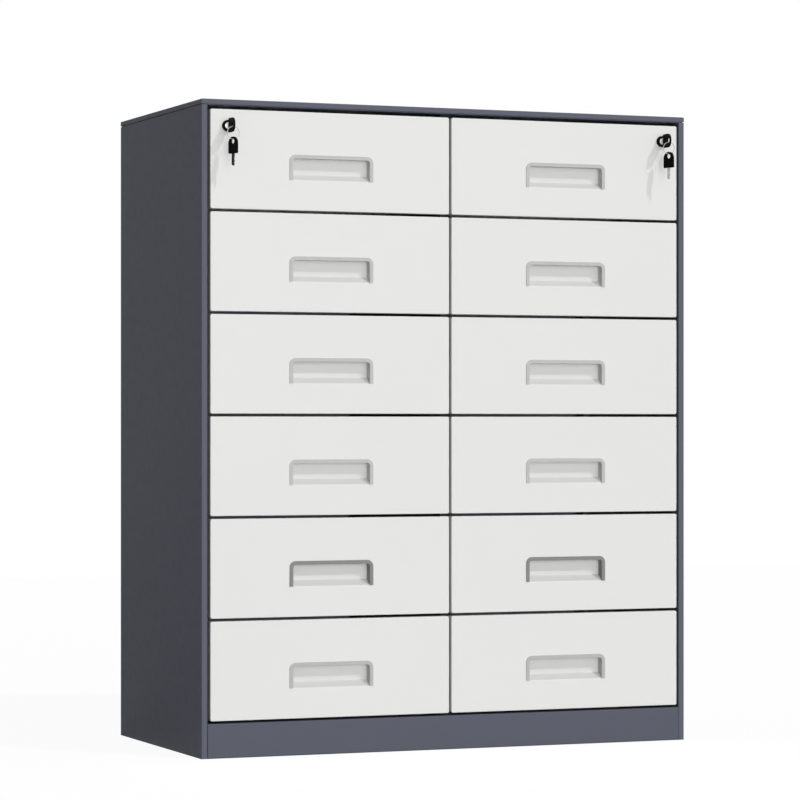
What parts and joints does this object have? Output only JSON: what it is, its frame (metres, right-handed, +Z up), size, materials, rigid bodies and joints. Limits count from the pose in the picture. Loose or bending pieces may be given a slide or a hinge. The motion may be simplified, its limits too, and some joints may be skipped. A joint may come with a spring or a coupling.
{
  "type": "filing cabinet",
  "caption": "Free-standing steel filing cabinet with two columns of shallow sliding drawers, recessed finger pulls and keyed cam locks on the top drawers.",
  "frame": {"origin": "on the floor, at the middle of the whole footprint, keys included", "axes": "+X to the right seen from the front, +Y from the front to the back, +Z up"},
  "size_m": [0.9, 0.4916, 1.1],
  "materials": {
    "carcass_paint": "slate-grey powder coat, satin",
    "front_paint": "white powder coat, satin",
    "tray_paint": "white powder coat, satin",
    "trim_plastic": "light-grey moulded plastic, fine texture",
    "runner_zinc": "zinc plated, dull",
    "lock_black": "black coated zinc casting",
    "lock_nickel": "bright nickel plate",
    "lock_zinc": "zinc plated",
    "key_nickel": "nickel plated brass",
    "key_plastic": "black moulded plastic"
  },
  "bodies": {
    "root": {"side_panel_left": "carcass_paint", "side_panel_right": "carcass_paint", "top_cap": "carcass_paint", "back_panel": "carcass_paint", "base_pan": "carcass_paint", "centre_divider": "carcass_paint", "rear_uprights": "runner_zinc", "cabinet_runners": "runner_zinc"},
    "drawer_left_1": {"drawer_front_left_1": "front_paint", "handle_trim_left_1": "trim_plastic", "drawer_tray_left_1": "tray_paint", "lock_barrel_left": "lock_black"},
    "drawer_left_2": {"drawer_front_left_2": "front_paint", "handle_trim_left_2": "trim_plastic", "drawer_tray_left_2": "tray_paint"},
    "drawer_left_3": {"drawer_front_left_3": "front_paint", "handle_trim_left_3": "trim_plastic", "drawer_tray_left_3": "tray_paint"},
    "drawer_left_4": {"drawer_front_left_4": "front_paint", "handle_trim_left_4": "trim_plastic", "drawer_tray_left_4": "tray_paint"},
    "drawer_left_5": {"drawer_front_left_5": "front_paint", "handle_trim_left_5": "trim_plastic", "drawer_tray_left_5": "tray_paint"},
    "drawer_left_6": {"drawer_front_left_6": "front_paint", "handle_trim_left_6": "trim_plastic", "drawer_tray_left_6": "tray_paint"},
    "lock_left": {"lock_plug_left": "lock_nickel", "lock_cam_left": "lock_zinc", "key_blade_left": "key_nickel", "key_bow_left": "key_plastic"},
    "key_ring_left": {"key_ring_left": "key_nickel"},
    "spare_key_left": {"spare_key_blade_left": "key_nickel", "spare_key_bow_left": "key_plastic"},
    "drawer_right_1": {"drawer_front_right_1": "front_paint", "handle_trim_right_1": "trim_plastic", "drawer_tray_right_1": "tray_paint", "lock_barrel_right": "lock_black"},
    "drawer_right_2": {"drawer_front_right_2": "front_paint", "handle_trim_right_2": "trim_plastic", "drawer_tray_right_2": "tray_paint"},
    "drawer_right_3": {"drawer_front_right_3": "front_paint", "handle_trim_right_3": "trim_plastic", "drawer_tray_right_3": "tray_paint"},
    "drawer_right_4": {"drawer_front_right_4": "front_paint", "handle_trim_right_4": "trim_plastic", "drawer_tray_right_4": "tray_paint"},
    "drawer_right_5": {"drawer_front_right_5": "front_paint", "handle_trim_right_5": "trim_plastic", "drawer_tray_right_5": "tray_paint"},
    "drawer_right_6": {"drawer_front_right_6": "front_paint", "handle_trim_right_6": "trim_plastic", "drawer_tray_right_6": "tray_paint"},
    "lock_right": {"lock_plug_right": "lock_nickel", "lock_cam_right": "lock_zinc", "key_blade_right": "key_nickel", "key_bow_right": "key_plastic"},
    "key_ring_right": {"key_ring_right": "key_nickel"},
    "spare_key_right": {"spare_key_blade_right": "key_nickel", "spare_key_bow_right": "key_plastic"}
  },
  "joints": [
    {"name": "drawer_left_1_slide", "type": "slide", "parent": "root", "child": "drawer_left_1", "axis": [0, -1, 0], "range_m": [0, 0.3]},
    {"name": "drawer_left_2_slide", "type": "slide", "parent": "root", "child": "drawer_left_2", "axis": [0, -1, 0], "range_m": [0, 0.3]},
    {"name": "drawer_left_3_slide", "type": "slide", "parent": "root", "child": "drawer_left_3", "axis": [0, -1, 0], "range_m": [0, 0.3]},
    {"name": "drawer_left_4_slide", "type": "slide", "parent": "root", "child": "drawer_left_4", "axis": [0, -1, 0], "range_m": [0, 0.3]},
    {"name": "drawer_left_5_slide", "type": "slide", "parent": "root", "child": "drawer_left_5", "axis": [0, -1, 0], "range_m": [0, 0.3]},
    {"name": "drawer_left_6_slide", "type": "slide", "parent": "root", "child": "drawer_left_6", "axis": [0, -1, 0], "range_m": [0, 0.3]},
    {"name": "lock_left_turn", "type": "hinge", "parent": "drawer_left_1", "child": "lock_left", "pos_m": [-0.4046, -0.21116, 1.0555], "axis": [0, -1, 0], "range_deg": [0, 90]},
    {"name": "key_ring_left_hang", "type": "hinge", "parent": "lock_left", "child": "key_ring_left", "pos_m": [-0.4046, -0.23396, 1.04725], "axis": [0, -1, 0], "range_deg": [-90, 0]},
    {"name": "spare_key_left_swing", "type": "hinge", "parent": "key_ring_left", "child": "spare_key_left", "pos_m": [-0.4046, -0.23396, 1.031], "axis": [1, 0, 0], "range_deg": [-45, 25]},
    {"name": "drawer_right_1_slide", "type": "slide", "parent": "root", "child": "drawer_right_1", "axis": [0, -1, 0], "range_m": [0, 0.3]},
    {"name": "drawer_right_2_slide", "type": "slide", "parent": "root", "child": "drawer_right_2", "axis": [0, -1, 0], "range_m": [0, 0.3]},
    {"name": "drawer_right_3_slide", "type": "slide", "parent": "root", "child": "drawer_right_3", "axis": [0, -1, 0], "range_m": [0, 0.3]},
    {"name": "drawer_right_4_slide", "type": "slide", "parent": "root", "child": "drawer_right_4", "axis": [0, -1, 0], "range_m": [0, 0.3]},
    {"name": "drawer_right_5_slide", "type": "slide", "parent": "root", "child": "drawer_right_5", "axis": [0, -1, 0], "range_m": [0, 0.3]},
    {"name": "drawer_right_6_slide", "type": "slide", "parent": "root", "child": "drawer_right_6", "axis": [0, -1, 0], "range_m": [0, 0.3]},
    {"name": "lock_right_turn", "type": "hinge", "parent": "drawer_right_1", "child": "lock_right", "pos_m": [0.4046, -0.21116, 1.0555], "axis": [0, 1, 0], "range_deg": [0, 90]},
    {"name": "key_ring_right_hang", "type": "hinge", "parent": "lock_right", "child": "key_ring_right", "pos_m": [0.4046, -0.23396, 1.04725], "axis": [0, 1, 0], "range_deg": [-90, 0]},
    {"name": "spare_key_right_swing", "type": "hinge", "parent": "key_ring_right", "child": "spare_key_right", "pos_m": [0.4046, -0.23396, 1.031], "axis": [1, 0, 0], "range_deg": [-45, 25]}
  ],
  "couplings": [
    {"joint": "key_ring_left_hang", "follows": "lock_left_turn", "ratio": -1},
    {"joint": "key_ring_right_hang", "follows": "lock_right_turn", "ratio": -1}
  ]
}
